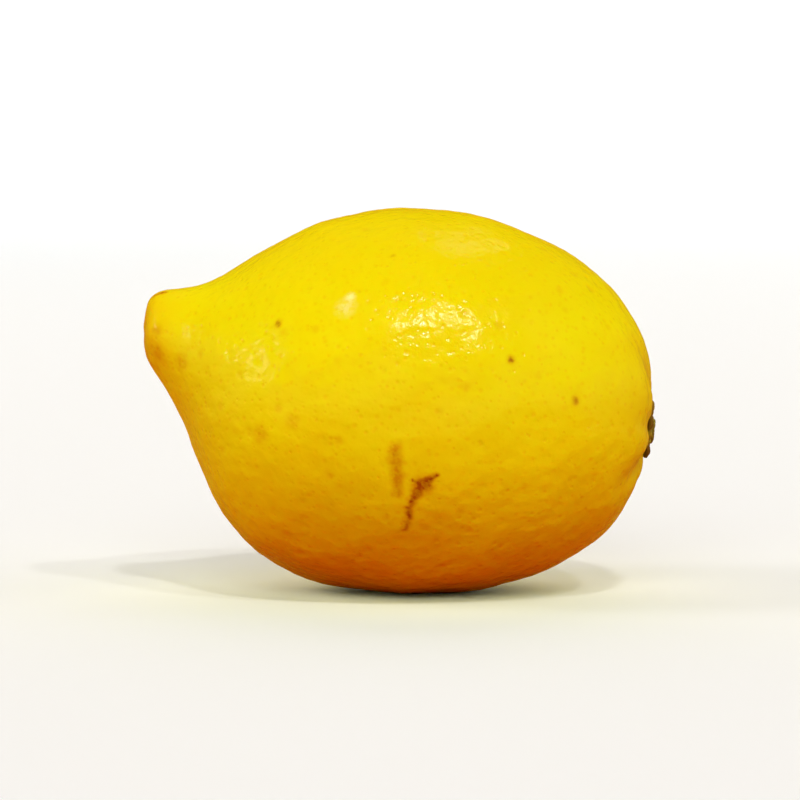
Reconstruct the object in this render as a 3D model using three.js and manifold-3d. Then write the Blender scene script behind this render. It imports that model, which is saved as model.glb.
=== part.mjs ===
// A whole lemon with its stem button, lying on a small flat spot. Millimetres, +Z up.
// The nipple points to -X and a little up, the stem end to +X. The outline is drawn in the
// fruit's own axes: x runs from the nipple to the stem end, z up across the fruit.
import * as THREE from 'three';
import { mergeVertices } from 'three/addons/utils/BufferGeometryUtils.js';
import Module from 'manifold-3d';

// Side outline: a smooth curve drawn inside these [x, z] points. Each point of the upper
// half has a partner in the lower half, and a cross-section stands on each such pair.
const tipPoint = [-2.0, 5.4];
const upperPoints = [[-2.1, 12.2], [5.3, 12.2], [12.5, 17.3], [24.5, 28.2], [43.2, 32.5],
  [60.8, 30.3], [75.6, 22.4], [83.2, 12.9]];
const lowerPoints = [[-1.2, -0.8], [5.8, -7.0], [11.6, -20.5], [21.6, -31.3], [39.6, -34.8],
  [58.8, -31.5], [75.8, -23.1], [83.4, -13.2]];
const stemPoint = [84.8, -0.4];
const extraWidth = 0.02; // how much wider than tall a cross-section is
const restTilt = THREE.MathUtils.degToRad(8); // the fruit lies with its nipple raised
const flatDepth = 0.35; // how far the underside is pressed flat

const meshDetail = 21; // splits along each edge of the starting icosahedron
const stemCrowding = 0.3; // share by which rings crowd towards the stem end

// The rind's slow unevenness: plane waves, each with a wavelength and a height.
const unevenness = [
  { length: 44, height: 0.2 }, { length: 31, height: 0.16 }, { length: 22, height: 0.12 },
  { length: 16, height: 0.09 }, { length: 12, height: 0.07 }, { length: 9, height: 0.05 }];
const wavePhase = 1.7; // from each wave to the next

// A swing is a sine round the fruit: how many times it goes round, how far, and its phase.
const stemDip = { depth: 1.9, radius: 5.6 };
const stemFurrows = {
  count: 9, depth: 1.15, start: 2.6, peak: 8, end: 23, sharpness: 1.5,
  shifts: [{ times: 1, reach: 0.9, phase: 0.6 }, { times: 2, reach: 0.7, phase: 2.1 }],
  strength: 0.7, strengthSwing: { times: 3, reach: 0.3, phase: 1.1 },
};
const nippleFolds = {
  count: 6, depth: 0.2, distance: 10, width: 6, shift: { times: 1, reach: 0.8, phase: 2.4 },
};
const scar = { ring: 0.035, depth: 0.4, radius: 1.4, lip: 0.15, lipRadius: 2.4, lipWidth: 0.9 };

const button = { gap: 0.3, lobes: 5, lobeReach: 0.17, sectors: 40 };
// Button profile from its centre outward: distance from the stem axis, height above its seat.
const buttonCrown = 1.95; // height of the cut face's middle
const buttonTop = [[0.9, 2.05], [1.5, 2.25], [1.85, 2.1], [2.05, 1.5], [2.3, 1.15],
  [3.1, 1.05], [3.9, 0.9], [4.35, 0.6]];
const buttonSeat = [[4.2, 0], [3.2, 0], [2.0, 0], [1.0, 0]];

const groundSize = 200;
const rindFinish = { color: '#efcf06', roughness: 0.38 };
const buttonFinish = { color: '#7d7a3c', roughness: 0.8 };

const outline = [tipPoint, ...upperPoints, stemPoint, ...[...lowerPoints].reverse()];
const half = outline.length / 2;

// A point of the closed cubic B-spline through the outline, u counted in outline points.
function outlineAt(u) {
  const n = outline.length;
  const turn = ((u % n) + n) % n;
  const i = Math.floor(turn);
  const s = turn - i;
  const weights = [(1 - s) ** 3, 3 * s ** 3 - 6 * s ** 2 + 4, -3 * s ** 3 + 3 * s ** 2 + 3 * s + 1,
    s ** 3];
  const point = [0, 0];
  weights.forEach((weight, j) => {
    const corner = outline[(i + j - 1 + n) % n];
    point[0] += weight * corner[0] / 6;
    point[1] += weight * corner[1] / 6;
  });
  return point;
}

// The plain fruit before any relief. t is 0 at the nipple's tip and 1 at the stem;
// turn is the angle round the fruit, 0 on top.
function plainPoint(t, turn) {
  const [upperX, upperZ] = outlineAt(t * half);
  const [lowerX, lowerZ] = outlineAt(-t * half);
  const [halfX, halfZ] = [(upperX - lowerX) / 2, (upperZ - lowerZ) / 2];
  const halfWidth = Math.hypot(halfX, halfZ) * (1 + extraWidth);
  return new THREE.Vector3(
    (upperX + lowerX) / 2 + halfX * Math.cos(turn),
    -halfWidth * Math.sin(turn),
    (upperZ + lowerZ) / 2 + halfZ * Math.cos(turn));
}

const nippleTip = plainPoint(0, 0);
const scarCentre = plainPoint(scar.ring, 0);
const [beforeStem, afterStem] = [outlineAt(half - 0.5), outlineAt(half + 0.5)];
const stemScale = half * Math.hypot(afterStem[0] - beforeStem[0], afterStem[1] - beforeStem[1]);

// Distance along the rind from the stem's centre, near enough on the blunt end.
const fromStem = (t) => (1 - t) * stemScale;
const bell = (distance, width) => Math.exp(-((distance / width) ** 2));
const swing = ({ times, reach, phase }, turn) => reach * Math.sin(times * turn + phase);

// Directions spread evenly over the sphere, one for each wave.
const waveDirections = unevenness.map((wave, i) => {
  const height = 1 - (2 * i + 1) / unevenness.length;
  const turn = i * Math.PI * (3 - Math.sqrt(5));
  const flat = Math.sqrt(1 - height * height);
  return new THREE.Vector3(flat * Math.cos(turn), flat * Math.sin(turn), height);
});

function unevenAt(point) {
  return unevenness.reduce((sum, wave, i) => {
    const angle = 2 * Math.PI * point.dot(waveDirections[i]) / wave.length + wavePhase * i;
    return sum + wave.height * Math.sin(angle);
  }, 0);
}

// Furrows run out from the button over the blunt end, uneven in spacing and in depth.
function furrowAt(t, turn) {
  const { count, depth, start, peak, end, sharpness, shifts, strength, strengthSwing } = stemFurrows;
  const out = fromStem(t);
  const rise = THREE.MathUtils.smoothstep(out, start, peak);
  const fall = 1 - THREE.MathUtils.smoothstep(out, peak, end);
  const around = shifts.reduce((sum, shift) => sum + swing(shift, turn), count * turn);
  const valley = (0.5 + 0.5 * Math.cos(around)) ** sharpness;
  return -depth * rise * fall * (strength + swing(strengthSwing, turn)) * valley;
}

// Weak folds run from the nipple's neck on to the body.
function foldAt(point, turn) {
  const { count, depth, distance, width, shift } = nippleFolds;
  const near = bell(point.distanceTo(nippleTip) - distance, width);
  return -depth * near * (0.5 + 0.5 * Math.cos(count * turn + swing(shift, turn)));
}

// The small sunk scar that the flower left, with its low lip.
function scarAt(point) {
  const away = point.distanceTo(scarCentre);
  return scar.lip * bell(away - scar.lipRadius, scar.lipWidth) - scar.depth * bell(away, scar.radius);
}

// A point of the rind, raised by lift along the surface's outward direction.
function rindPoint(t, turn, lift = 0) {
  const step = 1e-3;
  const ring = THREE.MathUtils.clamp(t, step, 1 - step);
  const along = plainPoint(ring + step / 2, turn).sub(plainPoint(ring - step / 2, turn));
  const round = plainPoint(ring, turn + step).sub(plainPoint(ring, turn - step));
  const outward = round.cross(along).normalize();
  const point = plainPoint(t, turn);
  const dip = -stemDip.depth * bell(fromStem(t), stemDip.radius);
  const relief = unevenAt(point) + furrowAt(t, turn) + foldAt(point, turn) + scarAt(point) + dip;
  return point.addScaledVector(outward, relief + lift);
}

function positionsOnly(geometry) {
  geometry.deleteAttribute('normal');
  geometry.deleteAttribute('uv');
  return mergeVertices(geometry, 1e-5);
}

// A ball of even triangles, each corner moved to its place on the rind.
function makeFruit() {
  const ball = positionsOnly(new THREE.IcosahedronGeometry(1, meshDetail));
  const position = ball.getAttribute('position');
  const direction = new THREE.Vector3();
  for (let i = 0; i < position.count; i += 1) {
    direction.fromBufferAttribute(position, i).normalize();
    const fromTip = Math.acos(THREE.MathUtils.clamp(-direction.x, -1, 1));
    const t = (fromTip + stemCrowding * Math.sin(fromTip)) / Math.PI;
    const point = rindPoint(t, Math.atan2(-direction.y, direction.z));
    position.setXYZ(i, point.x, point.y, point.z);
  }
  return ball;
}

// The five-lobed calyx with the clipped stalk on it, seated in the dip of the stem end.
function makeButton() {
  const { gap, lobes, lobeReach, sectors } = button;
  const rows = [...buttonTop, ...buttonSeat];
  const rim = buttonTop.at(-1)[0];
  const corners = [rindPoint(1, 0, gap + buttonCrown)];
  for (const [radius, height] of rows) {
    for (let i = 0; i < sectors; i += 1) {
      const turn = 2 * Math.PI * i / sectors;
      const reach = radius * (1 + lobeReach * Math.cos(lobes * turn) * (radius / rim) ** 3);
      corners.push(rindPoint(1 - reach / stemScale, turn, gap + height));
    }
  }
  corners.push(rindPoint(1, 0, gap));
  const faces = [];
  const last = rows.length - 1;
  const corner = (row, i) => 1 + row * sectors + (i % sectors);
  for (let i = 0; i < sectors; i += 1) {
    faces.push(0, corner(0, i), corner(0, i + 1));
    for (let row = 0; row < last; row += 1) {
      faces.push(corner(row, i), corner(row + 1, i + 1), corner(row, i + 1));
      faces.push(corner(row, i), corner(row + 1, i), corner(row + 1, i + 1));
    }
    faces.push(corners.length - 1, corner(last, i + 1), corner(last, i));
  }
  const geometry = new THREE.BufferGeometry();
  const values = corners.flatMap((point) => point.toArray());
  geometry.setAttribute('position', new THREE.Float32BufferAttribute(values, 3));
  geometry.setIndex(faces);
  return geometry;
}

// Takes everything below z = 0 off a closed geometry.
async function cutBelowGround(geometry) {
  const wasm = await Module();
  wasm.setup();
  const solid = (source) => new wasm.Manifold(new wasm.Mesh({
    numProp: 3,
    vertProperties: new Float32Array(source.getAttribute('position').array),
    triVerts: new Uint32Array(source.index.array),
  }));
  const ground = new THREE.BoxGeometry(groundSize, groundSize, groundSize);
  ground.translate(0, 0, -groundSize / 2);
  const mesh = solid(geometry).subtract(solid(positionsOnly(ground))).getMesh();
  const result = new THREE.BufferGeometry();
  result.setAttribute('position', new THREE.Float32BufferAttribute(mesh.vertProperties, 3));
  result.setIndex(new THREE.Uint32BufferAttribute(mesh.triVerts, 1));
  return result;
}

function named(geometry, name, finish) {
  geometry.computeVertexNormals();
  const mesh = new THREE.Mesh(geometry, new THREE.MeshStandardMaterial({ ...finish, metalness: 0 }));
  mesh.name = name;
  return mesh;
}

const fruit = makeFruit();
const stemButton = makeButton();
fruit.rotateY(restTilt);
stemButton.rotateY(restTilt);
fruit.computeBoundingBox();
const raise = -fruit.boundingBox.min.z - flatDepth;
fruit.translate(0, 0, raise);
stemButton.translate(0, 0, raise);

const group = new THREE.Group();
group.add(named(await cutBelowGround(fruit), 'fruit', rindFinish));
group.add(named(stemButton, 'stem_button', buttonFinish));

// The origin is on the ground, under the middle of the whole lemon.
const middle = new THREE.Box3().setFromObject(group).getCenter(new THREE.Vector3());
group.position.set(-middle.x, -middle.y, 0);

export default group;
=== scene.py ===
import math

import bmesh
import bpy
import numpy as np
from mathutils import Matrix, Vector, noise


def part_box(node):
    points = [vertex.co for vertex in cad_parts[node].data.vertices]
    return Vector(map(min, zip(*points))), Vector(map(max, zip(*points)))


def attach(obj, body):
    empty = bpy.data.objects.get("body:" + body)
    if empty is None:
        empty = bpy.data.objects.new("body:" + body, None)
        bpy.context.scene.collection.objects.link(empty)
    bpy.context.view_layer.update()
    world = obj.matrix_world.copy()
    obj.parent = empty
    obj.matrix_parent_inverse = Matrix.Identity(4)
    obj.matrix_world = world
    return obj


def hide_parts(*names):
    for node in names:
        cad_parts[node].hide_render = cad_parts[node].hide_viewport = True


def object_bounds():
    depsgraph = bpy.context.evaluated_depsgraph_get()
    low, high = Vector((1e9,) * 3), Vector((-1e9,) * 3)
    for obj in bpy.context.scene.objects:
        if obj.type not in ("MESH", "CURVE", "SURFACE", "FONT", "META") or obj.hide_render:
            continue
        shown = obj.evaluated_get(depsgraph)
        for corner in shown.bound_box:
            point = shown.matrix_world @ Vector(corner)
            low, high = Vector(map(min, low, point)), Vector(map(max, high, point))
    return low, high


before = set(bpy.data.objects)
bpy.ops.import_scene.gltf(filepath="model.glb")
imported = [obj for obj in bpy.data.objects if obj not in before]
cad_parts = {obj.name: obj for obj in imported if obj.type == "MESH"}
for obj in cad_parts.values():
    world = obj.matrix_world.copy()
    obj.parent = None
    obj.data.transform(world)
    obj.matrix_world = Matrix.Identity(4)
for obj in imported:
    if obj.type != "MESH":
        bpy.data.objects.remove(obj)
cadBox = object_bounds()
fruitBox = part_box("fruit")
mm = 0.001
print("frame loaded, the lemon is", [round(v / mm, 1) for v in cadBox[1] - cadBox[0]], "mm")


# The lemon's form, in mm in its own axes: x from the nipple to the stem, z up across the fruit.
lemonForm = {
    # the points that pull the outline's curve: the tip, over the top to the stem, and underneath
    "tip": (-2.0, 5.4),
    "upper": [(-2.1, 12.2), (5.3, 12.2), (12.5, 17.3), (24.5, 28.2), (43.2, 32.5),
              (60.8, 30.3), (75.6, 22.4), (83.2, 12.9)],
    "lower": [(-1.2, -0.8), (5.8, -7.0), (11.6, -20.5), (21.6, -31.3), (39.6, -34.8),
              (58.8, -31.5), (75.8, -23.1), (83.4, -13.2)],
    "stem": (84.8, -0.4),
    "extraWidth": 0.02,     # how much wider than tall
    "restTilt": 8,          # degrees, the nipple end raised
    # each swell's length and height
    "swells": [(44, 0.20), (31, 0.16), (22, 0.12), (16, 0.09), (12, 0.07), (9, 0.05)],
    "swellPhase": 1.7,
    "dipDepth": 1.9, "dipRadius": 5.6,      # the hollow that the stem button sits in
    "furrows": 9, "furrowDepth": 1.15, "furrowSharpness": 1.5,
    "furrowStart": 2.6, "furrowPeak": 8, "furrowEnd": 23,       # mm from the stem
    "furrowSway": [(1, 0.9, 0.6), (2, 0.7, 2.1)],       # sways: count round the fruit, size, phase
    "furrowStrength": 0.7, "strengthSway": [(3, 0.3, 1.1)],
    "folds": 6, "foldDepth": 0.2, "foldDistance": 10, "foldWidth": 6, "foldSway": [(1, 0.8, 2.4)],
    "scarRing": 0.035, "scarDepth": 0.4, "scarRadius": 1.4,     # the scar at the nipple's tip
    "lipHeight": 0.15, "lipRadius": 2.4, "lipWidth": 0.9,       # the low rim round it
}

outline = np.array([lemonForm["tip"], *lemonForm["upper"], lemonForm["stem"], *lemonForm["lower"][::-1]])
half = len(outline) / 2
goldenAngle = math.pi * (3 - math.sqrt(5))      # spreads directions evenly


def outlineAt(u):
    # a point of the closed cubic B-spline round the outline, u counted in outline points
    n = len(outline)
    turn = np.mod(u, n)
    first = np.floor(turn).astype(int)
    s = (turn - first)[..., None]
    weights = [(1 - s) ** 3, 3 * s ** 3 - 6 * s ** 2 + 4, -3 * s ** 3 + 3 * s ** 2 + 3 * s + 1, s ** 3]
    return sum(w * outline[(first + j - 1) % n] for j, w in enumerate(weights)) / 6


def plainPoints(t, turn):
    # t runs from 0 at the nipple to 1 at the stem, turn is the angle round the fruit, 0 on top
    upper, lower = outlineAt(t * half), outlineAt(-t * half)
    middle, reach = (upper + lower) / 2, (upper - lower) / 2
    width = np.hypot(reach[..., 0], reach[..., 1]) * (1 + lemonForm["extraWidth"])
    return np.stack([middle[..., 0] + reach[..., 0] * np.cos(turn),
                     -width * np.sin(turn),
                     middle[..., 1] + reach[..., 1] * np.cos(turn)], axis=-1)


def bell(distance, width):
    return np.exp(-(distance / width) ** 2)


def smoothStep(x, low, high):
    s = np.clip((x - low) / (high - low), 0, 1)
    return s * s * (3 - 2 * s)


def sway(turn, waves):
    return sum(size * np.sin(count * turn + phase) for count, size, phase in waves)


zero = np.zeros(1)
nippleTip = plainPoints(zero, zero)[0]
scarCentre = plainPoints(zero + lemonForm["scarRing"], zero)[0]
# mm of rind for a step of 1 in t, near the stem
stemScale = half * np.linalg.norm(outlineAt(np.array(half + 0.5)) - outlineAt(np.array(half - 0.5)))


def unevenness(points):
    # long low swells that run in directions spread evenly over a ball
    swells = lemonForm["swells"]
    total = np.zeros(len(points))
    for i, (length, height) in enumerate(swells):
        up = 1 - (2 * i + 1) / len(swells)
        turn = i * goldenAngle
        flat = math.sqrt(1 - up * up)
        along = points @ np.array([flat * math.cos(turn), flat * math.sin(turn), up])
        total += height * np.sin(2 * math.pi * along / length + lemonForm["swellPhase"] * i)
    return total


def furrows(t, turn):
    # 1 at the bottom of a furrow by the stem, 0 between them
    out = (1 - t) * stemScale
    rise = smoothStep(out, lemonForm["furrowStart"], lemonForm["furrowPeak"])
    fall = 1 - smoothStep(out, lemonForm["furrowPeak"], lemonForm["furrowEnd"])
    around = lemonForm["furrows"] * turn + sway(turn, lemonForm["furrowSway"])
    strength = lemonForm["furrowStrength"] + sway(turn, lemonForm["strengthSway"])
    return rise * fall * strength * (0.5 + 0.5 * np.cos(around)) ** lemonForm["furrowSharpness"]


def folds(points, turn):
    # 1 in the folds where the nipple's neck widens
    fromTip = np.linalg.norm(points - nippleTip, axis=1)
    near = bell(fromTip - lemonForm["foldDistance"], lemonForm["foldWidth"])
    return near * (0.5 + 0.5 * np.cos(lemonForm["folds"] * turn + sway(turn, lemonForm["foldSway"])))


def outward(t, turn):
    # the direction out of the rind
    step = 1e-3
    ring = np.clip(t, step, 1 - step)
    along = plainPoints(ring + step / 2, turn) - plainPoints(ring - step / 2, turn)
    around = plainPoints(ring, turn + step) - plainPoints(ring, turn - step)
    normal = np.cross(around, along)
    return normal / np.linalg.norm(normal, axis=1, keepdims=True)


def rindPoints(t, turn, lift=0.0):
    # the rind with its swells, furrows, folds, scar and dip, or places at a height above it
    points = plainPoints(t, turn)
    fromScar = np.linalg.norm(points - scarCentre, axis=1)
    relief = (unevenness(points)
              - lemonForm["furrowDepth"] * furrows(t, turn)
              - lemonForm["foldDepth"] * folds(points, turn)
              + lemonForm["lipHeight"] * bell(fromScar - lemonForm["lipRadius"], lemonForm["lipWidth"])
              - lemonForm["scarDepth"] * bell(fromScar, lemonForm["scarRadius"])
              - lemonForm["dipDepth"] * bell((1 - t) * stemScale, lemonForm["dipRadius"]))
    return points + outward(t, turn) * np.reshape(relief + lift, (-1, 1))


def tilted(points):
    # from the lemon's own axes to the way it lies
    a = math.radians(lemonForm["restTilt"])
    x, y, z = points.T
    return np.stack([x * math.cos(a) + z * math.sin(a), y, z * math.cos(a) - x * math.sin(a)], axis=-1)


# Short hands for meshes.
def linkPiece(name, mesh):
    piece = bpy.data.objects.new(name, mesh)
    bpy.context.scene.collection.objects.link(piece)
    return piece


def addValues(mesh, **layers):
    # numbers kept at the mesh's corners for the materials to read
    for name, values in layers.items():
        layer = mesh.attributes.new(name, "FLOAT", "POINT")
        layer.data.foreach_set("value", np.asarray(values, dtype=np.float32))


def ringFaces(rows, sides):
    # quads between rings of corners that follow one another
    faces = []
    for row in range(rows - 1):
        a, b = row * sides, (row + 1) * sides
        for i in range(sides):
            j = (i + 1) % sides
            faces.append((a + i, b + i, b + j, a + j))
    return faces


# The fruit: a ball of even quads whose corners move to their places on the rind. Sizes are in mm.
fruitPiece = {
    "quadsAcrossFace": 128,     # of the cube that the ball is made from
    "evenSpacing": 0.75,        # 1 spaces the rings evenly along the rind, 0 crowds them at both ends
    # the oil glands: rims are shares of the spacing, strengths the shallowest and the deepest
    "pitSpacing": 1.2, "pitRandomness": 0.95, "pitFloor": 0.02, "pitRim": (0.28, 0.58),
    "pitStrength": (0.35, 1.0), "pitDepth": 0.03,
    # the soft hollows round the glands
    "hollowSpacing": 2.2, "hollowSmoothness": 0.15, "hollowRim": (0.15, 0.8),
    "hollowStrength": (0.3, 1.0), "hollowDepth": 0.13,
    "smoothNeck": (8.0, 28.0), "neckRelief": 0.35,      # near the tip the hollows are shallower
    "dimpleSpacing": 6.0, "dimpleRim": (0.02, 0.2), "dimpleDepth": 0.08,        # the few deeper dimples
    "ripples": [(5.0, 0.12), (2.4, 0.14)], "rippleMiddle": 0.62,        # size and height of soft lumps
}


def ringPlaces(fromTip):
    # t for each angle from the nipple
    samples = 2001
    t = np.linspace(0, 1, samples)
    side = plainPoints(t, np.full_like(t, math.pi / 2))
    length = np.concatenate([[0], np.cumsum(np.linalg.norm(np.diff(side, axis=0), axis=1))])
    even = fruitPiece["evenSpacing"]
    return np.interp(fromTip / math.pi, even * length / length[-1] + (1 - even) * t, t)


def makeFruit():
    ball = bmesh.new()
    bmesh.ops.create_cube(ball, size=2)
    bmesh.ops.subdivide_edges(ball, edges=ball.edges[:], cuts=fruitPiece["quadsAcrossFace"] - 1,
                              use_grid_fill=True)
    mesh = bpy.data.meshes.new("fruit_skin")
    ball.to_mesh(mesh)
    ball.free()
    corners = np.empty(len(mesh.vertices) * 3)
    mesh.vertices.foreach_get("co", corners)
    corners = np.tan(corners.reshape(-1, 3) * math.pi / 4)      # evens out the quads on the ball
    corners /= np.linalg.norm(corners, axis=1, keepdims=True)
    t = ringPlaces(np.arccos(np.clip(-corners[:, 0], -1, 1)))
    turn = np.arctan2(-corners[:, 1], corners[:, 2])
    own = rindPoints(t, turn)
    addValues(mesh, furrow=furrows(t, turn), fromStem=(1 - t) * stemScale,
              fromTip=np.linalg.norm(own - nippleTip, axis=1),
              fromScar=np.linalg.norm(own - scarCentre, axis=1))
    points = tilted(own)
    shift = np.array(fruitBox[0] + fruitBox[1]) / 2 / mm - (points.min(0) + points.max(0)) / 2
    shift[2] = fruitBox[1].z / mm - points[:, 2].max()
    points += shift
    points[:, 2] = np.maximum(points[:, 2], 0)      # the flat spot that it rests on
    mesh.vertices.foreach_set("co", (points * mm).ravel())
    mesh.shade_smooth()
    return linkPiece("fruit_skin", mesh), points, shift


fruitSkin, framePoints, placing = makeFruit()
print("fruit shaped,", len(fruitSkin.data.polygons), "quads")


# Short hands for node trees.
def plug(tree, socket, value):
    if isinstance(value, bpy.types.NodeSocket):
        tree.links.new(value, socket)
    else:
        socket.default_value = value


def addNode(tree, kind, values=None, **settings):
    node = tree.nodes.new(kind)
    for name, value in settings.items():
        setattr(node, name, value)
    for name, value in (values or {}).items():
        plug(tree, node.inputs[name], value)
    return node


def calc(tree, operation, *values, clamp=False):
    return addNode(tree, "ShaderNodeMath", dict(enumerate(values)), operation=operation,
                   use_clamp=clamp).outputs[0]


def move(tree, operation, *values, output=0):
    return addNode(tree, "ShaderNodeVectorMath", dict(enumerate(values)),
                   operation=operation).outputs[output]


def scaled(tree, vector, amount):
    return addNode(tree, "ShaderNodeVectorMath", {0: vector, "Scale": amount},
                   operation="SCALE").outputs[0]


def between(tree, share, low, high):
    # low where the share is 0 and high where it is 1
    return calc(tree, "MULTIPLY_ADD", share, high - low, low)


def fade(tree, value, low, high, atLow=0.0, atHigh=1.0):
    return addNode(tree, "ShaderNodeMapRange", {
        "Value": value, "From Min": low, "From Max": high, "To Min": atLow, "To Max": atHigh},
        interpolation_type="SMOOTHSTEP").outputs["Result"]


def cloudOf(tree, place, size, detail):
    # soft noise whose lumps are about this size in mm
    return addNode(tree, "ShaderNodeTexNoise", {
        "Vector": place, "Scale": 1 / (size * mm), "Detail": detail}).outputs


def blendColour(tree, share, a, b):
    # the mix node's colours are its inputs 6 and 7 and its output 2
    node = addNode(tree, "ShaderNodeMix", data_type="RGBA", clamp_factor=True)
    plug(tree, node.inputs[0], share)
    plug(tree, node.inputs[6], a)
    plug(tree, node.inputs[7], b)
    return node.outputs[2]


def tint(tree, colour, mask, strength, shade):
    return blendColour(tree, calc(tree, "MULTIPLY", mask, strength), colour, shade)


def meshValue(tree, name):
    return addNode(tree, "ShaderNodeAttribute", attribute_name=name).outputs["Fac"]


def makeGroup(name, kind, inputs, outputs):
    group = bpy.data.node_groups.new(name, kind)
    for label, value in inputs.items():
        socketType = "NodeSocketFloat" if isinstance(value, float) else value
        socket = group.interface.new_socket(name=label, in_out="INPUT", socket_type=socketType)
        if isinstance(value, float):
            socket.default_value = value
    for label, socketType in outputs.items():
        group.interface.new_socket(name=label, in_out="OUTPUT", socket_type=socketType)
    return group, group.nodes.new("NodeGroupInput").outputs, group.nodes.new("NodeGroupOutput").inputs


def useGroup(tree, group, **values):
    node = tree.nodes.new("ShaderNodeGroup")
    node.node_tree = group
    for name, value in values.items():
        plug(tree, node.inputs[name], value)
    return node.outputs


def newMaterial(name):
    material = bpy.data.materials.new(name)
    material.use_nodes = True
    tree = material.node_tree
    tree.nodes.clear()
    return material, tree, tree.nodes.new("ShaderNodeTexCoord").outputs["Object"]


def finishSurface(tree, height, values):
    # the shader with a bump of this height in mm
    bump = addNode(tree, "ShaderNodeBump", {"Height": height, "Strength": 1.0, "Distance": mm})
    shader = addNode(tree, "ShaderNodeBsdfPrincipled", {"Normal": bump.outputs[0], **values})
    addNode(tree, "ShaderNodeOutputMaterial", {"Surface": shader.outputs[0]})


# The relief of the rind, from cells of random shape. The glands and dimples fall on the same
# places in the mesh and in the rind's finish.
def cellsOf(tree, place, spacing, randomness=1.0, feature="F1", **values):
    return addNode(tree, "ShaderNodeTexVoronoi", {
        "Vector": place, "Scale": 1 / (spacing * mm), "Randomness": randomness, **values},
        voronoi_dimensions="3D", feature=feature).outputs


def chancesOf(tree, cells):
    # three numbers from 0 to 1 that differ from cell to cell
    return addNode(tree, "ShaderNodeSeparateXYZ", {0: cells["Color"]}).outputs


def pitMask(tree, place):
    # 1 on the floor of an oil gland and 0 between them
    cells = cellsOf(tree, place, fruitPiece["pitSpacing"], fruitPiece["pitRandomness"])
    chances = chancesOf(tree, cells)
    rim = between(tree, chances[0], *fruitPiece["pitRim"])
    mask = fade(tree, cells["Distance"], fruitPiece["pitFloor"], rim, 1.0, 0.0)
    return calc(tree, "MULTIPLY", mask, between(tree, chances[1], *fruitPiece["pitStrength"]))


def hollowMask(tree, place):
    # 1 in the middle of a soft hollow
    cells = cellsOf(tree, place, fruitPiece["hollowSpacing"], feature="SMOOTH_F1",
                    Smoothness=fruitPiece["hollowSmoothness"])
    strength = between(tree, chancesOf(tree, cells)[0], *fruitPiece["hollowStrength"])
    mask = fade(tree, cells["Distance"], *fruitPiece["hollowRim"], 1.0, 0.0)
    return calc(tree, "MULTIPLY", mask, strength)


def dimpleMask(tree, place):
    # 1 in the middle of a dimple
    cells = cellsOf(tree, place, fruitPiece["dimpleSpacing"])
    return fade(tree, cells["Distance"], *fruitPiece["dimpleRim"], 1.0, 0.0)


def pressPits(piece):
    # the relief goes into the mesh itself, along its normals
    tree, given, out = makeGroup("pressedPits", "GeometryNodeTree", {"Geometry": "NodeSocketGeometry"},
                                 {"Geometry": "NodeSocketGeometry"})
    place = tree.nodes.new("GeometryNodeInputPosition").outputs[0]
    normal = tree.nodes.new("GeometryNodeInputNormal").outputs[0]
    fromTip = addNode(tree, "GeometryNodeInputNamedAttribute", {"Name": "fromTip"},
                      data_type="FLOAT").outputs[0]
    relief = fade(tree, fromTip, *fruitPiece["smoothNeck"], fruitPiece["neckRelief"], 1.0)
    hollows = calc(tree, "MULTIPLY", hollowMask(tree, place), relief)
    depth = calc(tree, "MULTIPLY", pitMask(tree, place), -fruitPiece["pitDepth"] * mm)
    depth = calc(tree, "MULTIPLY_ADD", hollows, -fruitPiece["hollowDepth"] * mm, depth)
    depth = calc(tree, "MULTIPLY_ADD", dimpleMask(tree, place), -fruitPiece["dimpleDepth"] * mm, depth)
    for size, height in fruitPiece["ripples"]:
        sunk = calc(tree, "SUBTRACT", cloudOf(tree, place, size, 1.0)[0], fruitPiece["rippleMiddle"])
        depth = calc(tree, "MULTIPLY_ADD", sunk, height * mm, depth)
    pressed = addNode(tree, "GeometryNodeSetPosition", {
        "Geometry": given[0], "Offset": scaled(tree, normal, depth)})
    plug(tree, out[0], pressed.outputs[0])
    modifier = piece.modifiers.new("pressedPits", "NODES")
    modifier.node_group = tree
    bpy.context.view_layer.objects.active = piece
    bpy.ops.object.modifier_apply(modifier=modifier.name)


def fitInside(piece, box):
    # the skin keeps within its solid's box, and its flat spot at the floor
    mesh = piece.data
    points = np.empty(len(mesh.vertices) * 3)
    mesh.vertices.foreach_get("co", points)
    points = points.reshape(-1, 3)
    low, high = np.array(box[0]), np.array(box[1])
    middle, size = (low + high) / 2, points.max(0) - points.min(0)
    scale = np.minimum(1, (high - low) / size)
    points = middle + (points - (points.max(0) + points.min(0)) / 2) * scale
    points[:, 2] = np.maximum(points[:, 2], low[2])
    mesh.vertices.foreach_set("co", points.ravel())
    mesh.update()


pressPits(fruitSkin)
fitInside(fruitSkin, fruitBox)
print("oil glands pressed in")


# Shared effects: soft mottling, round spots, and strokes for scratches.
mottleContrast = (0.3, 0.7)     # a narrower range gives patches with harder edges
spotFade = (0.0, 1.4)           # where a mark starts to fade and where it ends, in half widths
haloFade = (0.2, 2.4)


def makeMottleGroup():
    # soft patches of a given size, 0 to 1
    group, given, out = makeGroup("mottle", "ShaderNodeTree",
                                  {"Vector": "NodeSocketVector", "Size": 0.01, "Detail": 2.0},
                                  {"Value": "NodeSocketFloat"})
    cloud = addNode(group, "ShaderNodeTexNoise", {
        "Vector": given["Vector"], "Scale": calc(group, "DIVIDE", 1.0, given["Size"]),
        "Detail": given["Detail"], "Roughness": 0.5})
    plug(group, out[0], fade(group, cloud.outputs[0], *mottleContrast))
    return group


def fadeMark(group, share, out):
    # the mark and the halo round it, share being the distance in half widths
    plug(group, out["Mask"], fade(group, share, *spotFade, 1.0, 0.0))
    plug(group, out["Halo"], fade(group, share, *haloFade, 1.0, 0.0))


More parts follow.
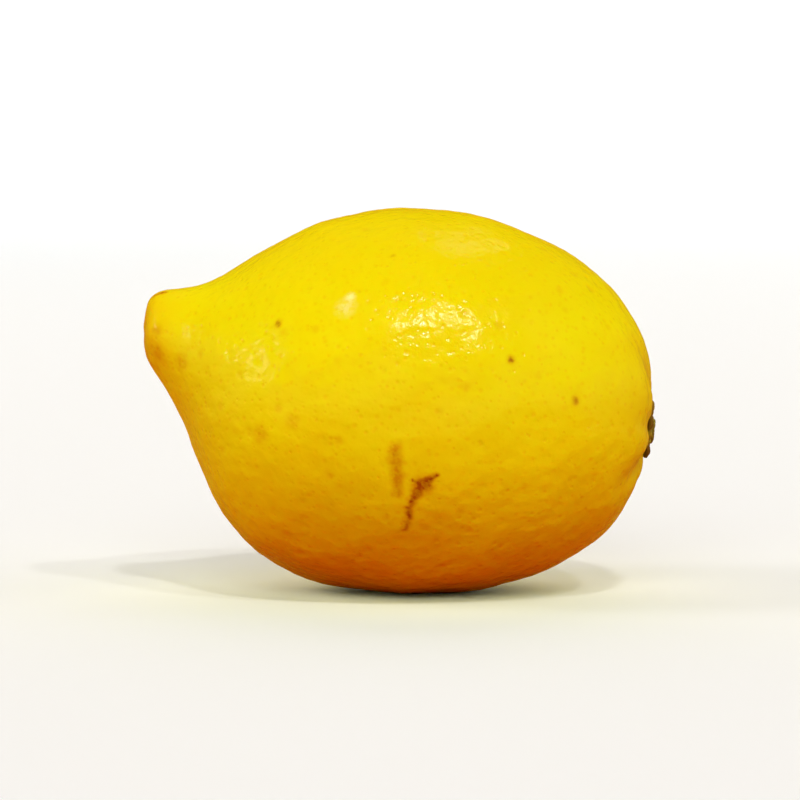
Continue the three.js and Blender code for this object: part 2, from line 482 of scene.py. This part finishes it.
def makeSpotGroup():
    # a small round mark
    group, given, out = makeGroup("spot", "ShaderNodeTree",
                                  {"Vector": "NodeSocketVector", "Centre": "NodeSocketVector",
                                   "Radius": 0.001},
                                  {"Mask": "NodeSocketFloat", "Halo": "NodeSocketFloat"})
    away = move(group, "DISTANCE", given["Vector"], given["Centre"], output="Value")
    fadeMark(group, calc(group, "DIVIDE", away, given["Radius"]), out)
    return group


def makeStrokeGroup():
    # a scratch from one place to another, its width changing on the way
    group, given, out = makeGroup("stroke", "ShaderNodeTree",
                                  {"Vector": "NodeSocketVector", "From": "NodeSocketVector",
                                   "To": "NodeSocketVector", "Start Width": 0.001, "End Width": 0.001},
                                  {"Mask": "NodeSocketFloat", "Halo": "NodeSocketFloat"})
    run = move(group, "SUBTRACT", given["To"], given["From"])
    away = move(group, "SUBTRACT", given["Vector"], given["From"])
    along = calc(group, "DIVIDE", move(group, "DOT_PRODUCT", run, away, output="Value"),
                 move(group, "DOT_PRODUCT", run, run, output="Value"), clamp=True)
    off = move(group, "DISTANCE", away, scaled(group, run, along), output="Value")
    width = fade(group, along, 0.0, 1.0, given["Start Width"], given["End Width"])
    fadeMark(group, calc(group, "DIVIDE", off, width), out)
    return group


mottle, spot, stroke = makeMottleGroup(), makeSpotGroup(), makeStrokeGroup()


def mottlesOf(tree, place, finish):
    return [useGroup(tree, mottle, Vector=place, Size=size * mm, Detail=detail)[0]
            for size, detail in finish["patches"]]


def shaken(tree, place, size, reach):
    # places moved about at random, so that a mark's edge isn't straight
    centred = move(tree, "SUBTRACT", cloudOf(tree, place, size, 2.0)["Color"], (0.5, 0.5, 0.5))
    return move(tree, "ADD", place, scaled(tree, centred, reach * mm))


# Marks on the side facing -Y. Each has its places in mm, along X and above the floor, its half
# widths in mm, then how strong the brown scab and the orange bruise round it are.
rindMarks = {
    "spots": [
        ((-19.7, 46.2), 0.58, 0.85, 0.5),       # three dark specks
        ((18.0, 40.8), 0.56, 0.72, 0.45),
        ((28.3, 33.9), 0.62, 0.62, 0.45),
        ((-1.2, 57.2), 0.45, 0.2, 0.15),        # a faint one near the top
        ((-0.9, 26.0), 0.6, 0.3, 0.45),         # on the faint streak
        ((-1.1, 24.4), 0.4, 0.15, 0.3),
        ((-0.7, 22.6), 0.5, 0.15, 0.3),
        ((3.8, 20.8), 1.05, 1.0, 0.8),          # where the scar forks
        ((9.6, 16.6), 0.5, 0.1, 0.2),
        ((-22.5, 28.6), 1.1, 0.0, 0.35),        # bruises with no scab
        ((-36.1, 39.2), 1.0, 0.0, 0.4),
        ((-17.4, 31.1), 0.9, 0.0, 0.25),
        ((-40.3, 44.3), 0.7, 0.05, 0.35),
        ((-40.1, 40.8), 1.1, 0.0, 0.35)],
    "strokes": [
        ((3.6, 20.7), (5.9, 22.7), 1.05, 0.35, 0.85, 0.8),      # the scar's two prongs
        ((3.4, 20.8), (2.3, 21.5), 0.85, 0.3, 0.8, 0.7),
        ((3.4, 20.4), (2.0, 18.2), 0.85, 0.55, 0.75, 0.8),      # its tail
        ((2.0, 18.0), (1.5, 16.6), 0.5, 0.45, 0.4, 0.7),
        ((1.5, 16.8), (1.3, 15.3), 0.65, 0.5, 0.75, 0.7),
        ((1.0, 14.4), (0.6, 13.5), 0.6, 0.5, 0.4, 0.6),
        ((-0.8, 26.6), (-0.4, 19.6), 0.8, 0.6, 0.08, 0.62),     # the faint streak beside it
        # painted shade along the nipple's steep rim: a brown line over its upper corner, partly the
        # scar's own brown, and a fainter one down its left edge
        ((-42.0, 47.8), (-39.2, 50.2), 0.9, 0.45, 0.7, 0.9),    # the nipple's upper corner
        ((-42.6, 46.6), (-41.5, 38.5), 0.9, 0.6, 0.0, 0.5)],
    # whitish patches, partly a scuff and partly a painted sheen
    "scuffsAndSheens": [((-8.6, 49.2), 1.8, 0.6), ((-8.1, 50.8), 1.05, 1.0)],        # place, radius, strength
    "brown": (0.27, 0.02, 0.0005, 1),
    "bruise": (0.56, 0.14, 0.001, 1),
    "scuffAndSheen": (0.90, 0.88, 0.30, 1),
    "spotRagged": (0.8, 0.6), "strokeRagged": (1.8, 1.2),       # size and reach of an uneven edge, mm
    # round the nipple's scar: from and to in mm, with the strength at each
    "scarRagged": 0.9, "scarScab": (1.2, 2.6, 0.8, 0.0), "scarBruise": (1.6, 5.0, 0.6, 0.0),
    # how the grain breaks the marks up: from and to, with the strength at each
    "scabGrain": (0.1, 0.7, 0.6, 1.0), "bruiseGrain": (0.0, 0.8, 0.65, 1.0),
    "scuffSheenGrain": (0.0, 0.7), "scuffSheenLeast": 0.3,
}

# The rind's colours and how strongly each is mixed in. Heights and distances are in mm.
rindFinish = {
    "patches": [(22, 2.0), (5, 3.0), (0.9, 3.0)],       # size in mm and detail: broad, small, fine
    "yellow": (0.79, 0.765, 0.001, 1),
    "golden": (0.81, 0.68, 0.001, 1), "goldenShare": 0.5,
    "pale": (0.81, 0.79, 0.002, 1), "paleShare": 0.35,
    # painted light and shade: golden-orange painted on the top as painted warm light and underneath as
    # painted shade
    "paintedLightAndShade": (0.77, 0.63, 0.001, 1), "paintedLightTop": (41.0, 62.0), "paintedShadeUnder": (20.0, 5.0),      # heights
    "pitFloor": (0.76, 0.51, 0.001, 1), "pitShare": 0.42,
    # painted shade: a darker amber for the furrows, the deeper dimples and the nipple end
    "paintedShadeAmber": (0.71, 0.45, 0.003, 1), "furrowShare": 0.5, "dimpleShare": 0.35,
    "nearTip": (3.0, 14.0), "tipShare": 0.45,       # how far from the end the tint reaches
    # painted shade: orange-brown round the stem button and in the hollow it sits in
    "paintedStemShade": (0.58, 0.32, 0.006, 1), "stemShadeReach": (3.5, 14.0), "stemShadeShare": (0.35, 0.75),
    "pitBump": -0.062, "dimpleBump": -0.02, "grainBump": 0.025, "scabBump": -0.03,
    "roughness": (0.13, 0.2), "scabRoughness": 0.1,
    "shine": 0.32,
    "underglow": 0.5, "glowDepth": 0.004, "glowColours": (1.0, 0.3, 0.02),
}


def frontPlace(along, height):
    # the place on the rind's -Y side with this X and height
    gap = (framePoints[:, 0] - along) ** 2 + (framePoints[:, 2] - height) ** 2
    return tuple(framePoints[np.where(framePoints[:, 1] < 0, gap, np.inf).argmin()] * mm)


def rindColour(tree, place, broad, small, pits, dimples):
    # yellow with golden and pale patches and darker oil glands. Warm light is painted on the top and
    # shade underneath, and shade is painted in its furrows and deeper dimples, at the nipple end and
    # round the stem
    colour = tint(tree, rindFinish["yellow"], broad, rindFinish["goldenShare"], rindFinish["golden"])
    colour = tint(tree, colour, small, rindFinish["paleShare"], rindFinish["pale"])
    height = calc(tree, "DIVIDE", addNode(tree, "ShaderNodeSeparateXYZ", {0: place}).outputs[2], mm)
    # painted warm light towards the top and painted shade towards the bottom
    paintedLightAndShade = calc(tree, "MAXIMUM", fade(tree, height, *rindFinish["paintedLightTop"]),
                fade(tree, height, *rindFinish["paintedShadeUnder"]))
    colour = blendColour(tree, paintedLightAndShade, colour, rindFinish["paintedLightAndShade"])
    colour = tint(tree, colour, pits, rindFinish["pitShare"], rindFinish["pitFloor"])
    # painted shade in the deeper dimples and in the furrows
    colour = tint(tree, colour, dimples, rindFinish["dimpleShare"], rindFinish["paintedShadeAmber"])
    furrow = meshValue(tree, "furrow")
    colour = tint(tree, colour, furrow, rindFinish["furrowShare"], rindFinish["paintedShadeAmber"])
    # painted shade round the stem button, its strength varying with the small patches
    stemShadeReach = fade(tree, meshValue(tree, "fromStem"), *rindFinish["stemShadeReach"], 1.0, 0.0)
    stemShadeShare = between(tree, small, *rindFinish["stemShadeShare"])
    colour = tint(tree, colour, stemShadeReach, stemShadeShare, rindFinish["paintedStemShade"])
    # painted shade at the nipple end
    nearTip = fade(tree, meshValue(tree, "fromTip"), *rindFinish["nearTip"], 1.0, 0.0)
    return tint(tree, colour, nearTip, rindFinish["tipShare"], rindFinish["paintedShadeAmber"])


def drawMarks(tree, place, fine, colour):
    # the colour with the marks over it, and a mask of the scabs
    fromScar = calc(tree, "MULTIPLY_ADD", fine, rindMarks["scarRagged"], meshValue(tree, "fromScar"))
    scabs = fade(tree, fromScar, *rindMarks["scarScab"])
    bruises = fade(tree, fromScar, *rindMarks["scarBruise"])
    spotPlace = shaken(tree, place, *rindMarks["spotRagged"])
    strokePlace = shaken(tree, place, *rindMarks["strokeRagged"])
    marks = []
    for centre, radius, scab, bruise in rindMarks["spots"]:
        mark = useGroup(tree, spot, Vector=spotPlace, Centre=frontPlace(*centre), Radius=radius * mm)
        marks.append((mark, scab, bruise))
    for start, end, startWidth, endWidth, scab, bruise in rindMarks["strokes"]:
        mark = useGroup(tree, stroke, **{
            "Vector": strokePlace, "From": frontPlace(*start), "To": frontPlace(*end),
            "Start Width": startWidth * mm, "End Width": endWidth * mm})
        marks.append((mark, scab, bruise))
    for mark, scab, bruise in marks:
        scabs = calc(tree, "MAXIMUM", scabs, calc(tree, "MULTIPLY", mark["Mask"], scab))
        bruises = calc(tree, "MAXIMUM", bruises, calc(tree, "MULTIPLY", mark["Halo"], bruise))
    scabs = calc(tree, "MULTIPLY", scabs, fade(tree, fine, *rindMarks["scabGrain"]))
    bruises = calc(tree, "MULTIPLY", bruises, fade(tree, fine, *rindMarks["bruiseGrain"]))
    # whitish patches: a scuff with a painted sheen over it
    for centre, radius, strength in rindMarks["scuffsAndSheens"]:
        mark = useGroup(tree, spot, Vector=spotPlace, Centre=frontPlace(*centre), Radius=radius * mm)
        worn = fade(tree, fine, *rindMarks["scuffSheenGrain"], rindMarks["scuffSheenLeast"] * strength, strength)
        colour = tint(tree, colour, mark["Mask"], worn, rindMarks["scuffAndSheen"])
    colour = blendColour(tree, bruises, colour, rindMarks["bruise"])
    return blendColour(tree, scabs, colour, rindMarks["brown"]), scabs


def makeRindMaterial():
    material, tree, place = newMaterial("lemonRind")
    broad, small, fine = mottlesOf(tree, place, rindFinish)
    pits, dimples = pitMask(tree, place), dimpleMask(tree, place)
    colour = rindColour(tree, place, broad, small, pits, dimples)
    colour, scabs = drawMarks(tree, place, fine, colour)

    height = calc(tree, "MULTIPLY", pits, rindFinish["pitBump"])
    height = calc(tree, "MULTIPLY_ADD", dimples, rindFinish["dimpleBump"], height)
    height = calc(tree, "MULTIPLY_ADD", fine, rindFinish["grainBump"], height)
    height = calc(tree, "MULTIPLY_ADD", scabs, rindFinish["scabBump"], height)
    rough = calc(tree, "MULTIPLY_ADD", scabs, rindFinish["scabRoughness"],
                 fade(tree, small, 0.0, 1.0, *rindFinish["roughness"]))
    finishSurface(tree, height, {
        "Base Color": colour, "Roughness": rough, "Specular IOR Level": rindFinish["shine"],
        "Subsurface Weight": rindFinish["underglow"], "Subsurface Radius": rindFinish["glowColours"],
        "Subsurface Scale": rindFinish["glowDepth"]})
    return material


fruitSkin.data.materials.append(makeRindMaterial())
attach(fruitSkin, "root")
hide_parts("fruit")
print("rind finished")


# The stem button: the dry calyx with its five lobes, and the clipped stub in its middle. In mm.
buttonPiece = {
    "sectors": 240, "ringStep": 0.065,
    "gap": 0.3, "rim": 3.85,
    # distance from the middle and height: the cut face, the stub's edge, the lobes, the underside
    "profile": [(0.0, 1.72), (0.5, 1.74), (1.0, 1.82), (1.4, 2.0),
                (1.66, 2.08), (1.88, 2.0), (2.0, 1.75), (2.02, 1.4), (2.12, 1.12),
                (2.35, 1.0), (2.8, 1.02), (3.3, 1.0), (3.65, 0.86), (3.83, 0.62), (3.85, 0.4),
                (3.7, 0.22), (3.3, 0.08), (2.6, 0.0), (1.3, 0.0), (0.0, 0.0)],
    "cornerCuts": 3, "cornerCut": 0.25,     # how often the profile's corners are cut, and how far in
    # each lobe's direction and half width in degrees, then how far its tip reaches as a share of the rim
    "lobes": [(2, 27, 0.31), (71, 22, 0.24), (147, 28, 0.34), (214, 20, 0.27), (289, 30, 0.22)],
    "notches": [(38, 5, 0.1), (108, 7, 0.08), (181, 4, 0.13), (252, 6, 0.06), (331, 5, 0.12)],
    "lobeSharpness": 1.5, "lobeRise": 3, "edgeSway": [(3, 0.025, 2.2), (8, 0.015, 1.3)],
    "tipCurl": 0.3, "curlRise": 4,
    "sepalStart": (2.05, 2.6), "stubEdge": (1.8, 2.1),      # distances from the middle
    "wrinkles": [(17, 0.05, 0.4), (29, 0.03, 2.2), (43, 0.02, 4.1)],        # count, height, phase
    "wrinkleBend": (1.2, 2.1),
    "creases": [(1.1, 0.16), (0.45, 0.07)],     # size and height of the dry skin's lumps
    "cutLumps": [(1.3, 0.14), (0.4, 0.06)], "cutSunk": 0.03,        # the same on the cut face
}


def profileLine():
    # the profile as a smooth line of even steps
    points = np.array(buttonPiece["profile"])
    near = buttonPiece["cornerCut"]
    far = 1 - near
    for _ in range(buttonPiece["cornerCuts"]):
        before, after = points[:-1], points[1:]
        cut = np.stack([far * before + near * after, near * before + far * after], axis=1)
        points = np.concatenate([points[:1], cut.reshape(-1, 2), points[-1:]])
    length = np.concatenate([[0], np.cumsum(np.linalg.norm(np.diff(points, axis=0), axis=1))])
    steps = np.linspace(0, length[-1], round(length[-1] / buttonPiece["ringStep"]))
    return np.stack([np.interp(steps, length, points[:, i]) for i in range(2)], axis=1)


def lobesAt(turn):
    # how much further than the rim the calyx reaches in each direction
    total = np.zeros_like(turn)
    for side, key in ((1, "lobes"), (-1, "notches")):
        for direction, halfWidth, reach in buttonPiece[key]:
            off = np.abs(np.mod(np.degrees(turn) - direction + 180, 360) - 180) / halfWidth
            total += side * reach * np.exp(-off ** buttonPiece["lobeSharpness"])
    return total


def lumps(points, sizes):
    # soft lumps from a list of sizes and heights
    return sum(height * np.array([noise.noise(Vector(p) / size) for p in points])
               for size, height in sizes)


def makeButton():
    line, sectors = profileLine(), buttonPiece["sectors"]
    rings = line[1:-1]
    under = np.arange(len(rings)) > np.argmax(rings[:, 0])
    turn = np.tile(np.arange(sectors) * 2 * math.pi / sectors, len(rings))
    radius, height = np.repeat(rings[:, 0], sectors), np.repeat(rings[:, 1], sectors)
    onTop = 1 - np.repeat(under, sectors)
    share = radius / buttonPiece["rim"]
    lobe = lobesAt(turn)
    reach = radius * (1 + lobe * share ** buttonPiece["lobeRise"] + sway(turn, buttonPiece["edgeSway"]))
    flat = np.stack([reach * np.cos(turn), reach * np.sin(turn), height], axis=1)
    sepal = smoothStep(radius, *buttonPiece["sepalStart"]) * onTop
    stub = (1 - smoothStep(radius, *buttonPiece["stubEdge"])) * onTop
    bend, pace = buttonPiece["wrinkleBend"]
    for count, rise, phase in buttonPiece["wrinkles"]:
        bent = phase + bend * np.sin(pace * radius + count)
        height = height + rise * sepal * np.sin(count * turn + bent)
    height = height + sepal * lumps(flat, buttonPiece["creases"])
    height = height + buttonPiece["tipCurl"] * sepal * lobe * share ** buttonPiece["curlRise"]
    height = height + stub * (lumps(flat, buttonPiece["cutLumps"]) - buttonPiece["cutSunk"])
    points = rindPoints(1 - reach / stemScale, turn, buttonPiece["gap"] + height)
    middles = rindPoints(np.ones(2), np.zeros(2), buttonPiece["gap"] + line[[0, -1], 1])
    points = tilted(np.concatenate([points, middles])) + placing
    top, bottom, lastRing = len(points) - 2, len(points) - 1, (len(rings) - 1) * sectors
    faces = ringFaces(len(rings), sectors)
    for i in range(sectors):
        j = (i + 1) % sectors
        faces.append((top, i, j))
        faces.append((lastRing + i, bottom, lastRing + j))
    mesh = bpy.data.meshes.new("stem_calyx")
    mesh.from_pydata((points * mm).tolist(), [], faces)
    addValues(mesh, fromMiddle=np.append(radius, [0, 0]), lobeEdge=np.append(share, [0, 0]),
              lobeReach=np.append(lobe, [0, 0]))
    mesh.shade_smooth()
    mesh.update()
    return linkPiece("stem_calyx", mesh)


calyxFinish = {
    "patches": [(2.6, 3.0), (1.1, 3.0), (0.3, 3.0)],        # size in mm and detail: broad, small, fine
    "sepal": (0.38, 0.37, 0.012, 1), "sepalPale": (0.57, 0.56, 0.035, 1),
    "stain": (0.30, 0.22, 0.006, 1), "stained": (0.45, 0.95, 0.0, 0.75),
    # the dark edge starts at this share of the rim, and is wider on the lobes' tips
    "rim": (0.16, 0.08, 0.002, 1), "rimStart": (0.97, 1.16), "rimWander": 0.22, "lobeShare": 0.35,
    "bark": (0.15, 0.10, 0.006, 1), "cut": (0.44, 0.50, 0.03, 1), "pith": (0.50, 0.60, 0.06, 1),
    # the stub's rings of colour: from and to in mm from the middle, with the strength at each
    "rings": {"bark": (2.0, 2.45, 0.85, 0.0), "cut": (1.5, 1.8, 1.0, 0.0), "pith": (0.35, 0.9, 1.0, 0.0)},
    "ringWander": 0.25,
    "grainShare": 0.4, "creaseBump": 0.06, "grainBump": 0.04,
    "roughness": 0.75, "shine": 0.25,
}


def makeCalyxMaterial():
    material, tree, place = newMaterial("dryCalyx")
    broad, small, fine = mottlesOf(tree, place, calyxFinish)
    colour = blendColour(tree, small, calyxFinish["sepal"], calyxFinish["sepalPale"])
    colour = blendColour(tree, fade(tree, broad, *calyxFinish["stained"]), colour, calyxFinish["stain"])
    edge = calc(tree, "MULTIPLY_ADD", meshValue(tree, "lobeReach"), calyxFinish["lobeShare"],
                meshValue(tree, "lobeEdge"))
    edge = calc(tree, "MULTIPLY_ADD", broad, calyxFinish["rimWander"], edge)
    colour = blendColour(tree, fade(tree, edge, *calyxFinish["rimStart"]), colour, calyxFinish["rim"])
    wander = between(tree, small, -calyxFinish["ringWander"], calyxFinish["ringWander"])
    out = calc(tree, "ADD", meshValue(tree, "fromMiddle"), wander)
    for name, reach in calyxFinish["rings"].items():
        colour = blendColour(tree, fade(tree, out, *reach), colour, calyxFinish[name])
    colour = tint(tree, colour, fine, calyxFinish["grainShare"], calyxFinish["bark"])
    height = calc(tree, "MULTIPLY_ADD", small, calyxFinish["creaseBump"],
                  calc(tree, "MULTIPLY", fine, calyxFinish["grainBump"]))
    finishSurface(tree, height, {
        "Base Color": colour, "Roughness": calyxFinish["roughness"],
        "Specular IOR Level": calyxFinish["shine"]})
    return material


stemCalyx = makeButton()
stemCalyx.data.materials.append(makeCalyxMaterial())
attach(stemCalyx, "root")
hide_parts("stem_button")
print("stem button finished,", len(stemCalyx.data.polygons), "faces")


# The stage: a pale round floor that curves up into a low wall, in metres. Light that it throws
# back on the fruit is warm, and its reflection in the rind is golden.
stageSetup = {
    "floorRadius": 1.2, "flatRings": 8, "curve": 0.6, "curveRings": 24, "sides": 96,
    "colour": (0.845, 0.905, 1.0, 1), "roughness": 0.9, "shine": 0.1,
    "bounce": (0.56, 0.012, 0.001, 1), "bounceReach": (0.45, 0.9),
    "warmBounces": 1.5,     # light that has bounced more often than this sees the plain floor
    "inGloss": (0.5, 0.26, 0.006, 1),
}


def makeStage():
    reach, curve = stageSetup["floorRadius"], stageSetup["curve"]
    flatRings, curveRings, sides = stageSetup["flatRings"], stageSetup["curveRings"], stageSetup["sides"]
    profile = [(reach * i / flatRings, 0.0) for i in range(1, flatRings + 1)]
    bend = [math.pi / 2 * i / curveRings for i in range(1, curveRings + 1)]
    profile += [(reach + curve * math.sin(a), curve * (1 - math.cos(a))) for a in bend]
    corners = [(r * math.cos(2 * math.pi * i / sides), r * math.sin(2 * math.pi * i / sides), z)
               for r, z in profile for i in range(sides)]
    mesh = bpy.data.meshes.new("floor")
    mesh.from_pydata(corners, [], [tuple(range(sides))] + ringFaces(len(profile), sides))
    mesh.shade_smooth()
    material = bpy.data.materials.new("paleFloor")
    material.use_nodes = True
    tree = material.node_tree
    rays = tree.nodes.new("ShaderNodeLightPath").outputs
    place = tree.nodes.new("ShaderNodeTexCoord").outputs["Object"]
    far = fade(tree, move(tree, "LENGTH", place, output="Value"), *stageSetup["bounceReach"])
    later = calc(tree, "GREATER_THAN", rays["Diffuse Depth"], stageSetup["warmBounces"])
    pale = calc(tree, "MAXIMUM", calc(tree, "MAXIMUM", far, later), rays["Is Camera Ray"])
    colour = blendColour(tree, pale, stageSetup["bounce"], stageSetup["colour"])
    colour = blendColour(tree, rays["Is Glossy Ray"], colour, stageSetup["inGloss"])
    shader = tree.nodes["Principled BSDF"]
    plug(tree, shader.inputs["Base Color"], colour)
    plug(tree, shader.inputs["Roughness"], stageSetup["roughness"])
    plug(tree, shader.inputs["Specular IOR Level"], stageSetup["shine"])
    mesh.materials.append(material)
    linkPiece("floor", mesh)


# Lights: azimuth from the front, elevation, width in degrees, strength, colour, seen in the gloss.
studioLights = {
    "keyLight": (12, 53, 4, 0.66, (1.0, 0.92, 0.8), True),
    "secondKey": (32, 48, 3, 0.45, (1.0, 0.92, 0.8), True),
    "frontFill": (-6, 21, 40, 1.93, (0.97, 1.0, 0.9), False),
    "leftFill": (-85, 30, 22, 0.7, (1.0, 0.9, 0.8), False),
    "rightFill": (85, 35, 50, 0.46, (1.0, 0.9, 0.8), False),
    "backFill": (180, 40, 60, 1.12, (1.0, 0.82, 0.66), False),
    "backGlint": (155, 58, 14, 0.03, (1.0, 0.98, 0.95), True),
    "leftGlint": (-86, 22, 4, 0.07, (1.0, 0.92, 0.8), True),
}
lampDistance = 1.0      # metres, and suns shine alike from any distance
worldLight = {"colour": (1.0, 0.86, 0.72, 1), "reflected": (3.4, 2.5, 0.03, 1), "strength": 0.2}


def aim(thing, azimuth, elevation, target, distance):
    a, e = math.radians(azimuth), math.radians(elevation)
    away = Vector((math.sin(a) * math.cos(e), -math.cos(a) * math.cos(e), math.sin(e)))
    thing.location = target + away * distance
    thing.rotation_euler = (-away).to_track_quat("-Z", "Y").to_euler()
    bpy.context.scene.collection.objects.link(thing)


def makeLights(target):
    for name, (azimuth, elevation, width, strength, colour, inGloss) in studioLights.items():
        light = bpy.data.lights.new(name, "SUN")
        light.angle, light.energy, light.color = math.radians(width), strength, colour
        lamp = bpy.data.objects.new(name, light)
        lamp.visible_glossy = inGloss
        aim(lamp, azimuth, elevation, target, lampDistance)
    world = bpy.data.worlds.new("studio")
    world.use_nodes = True
    tree = world.node_tree
    background = tree.nodes["Background"]
    reflected = tree.nodes.new("ShaderNodeLightPath").outputs["Is Glossy Ray"]
    colour = blendColour(tree, reflected, worldLight["colour"], worldLight["reflected"])
    plug(tree, background.inputs["Color"], colour)
    plug(tree, background.inputs["Strength"], worldLight["strength"])
    bpy.context.scene.world = world


# The camera: angles in degrees, metres from the lemon's middle, and how much of the width it fills.
cameraSetup = {"azimuth": 0, "elevation": 4.5, "distance": 0.78, "fill": 0.64, "nearest": 0.05}


def makeCamera(target):
    camera = bpy.data.objects.new("camera", bpy.data.cameras.new("camera"))
    aim(camera, cameraSetup["azimuth"], cameraSetup["elevation"], target, cameraSetup["distance"])
    length = cadBox[1].x - cadBox[0].x
    camera.data.lens = camera.data.sensor_width * cameraSetup["fill"] * cameraSetup["distance"] / length
    camera.data.clip_start = cameraSetup["nearest"]
    bpy.context.scene.camera = camera


centre = (cadBox[0] + cadBox[1]) / 2
makeStage()
makeLights(centre)
makeCamera(centre)
look = bpy.context.scene.view_settings
look.view_transform, look.look, look.exposure, look.gamma = "Standard", "None", 0.0, 1.0
print("stage, lights and camera placed")
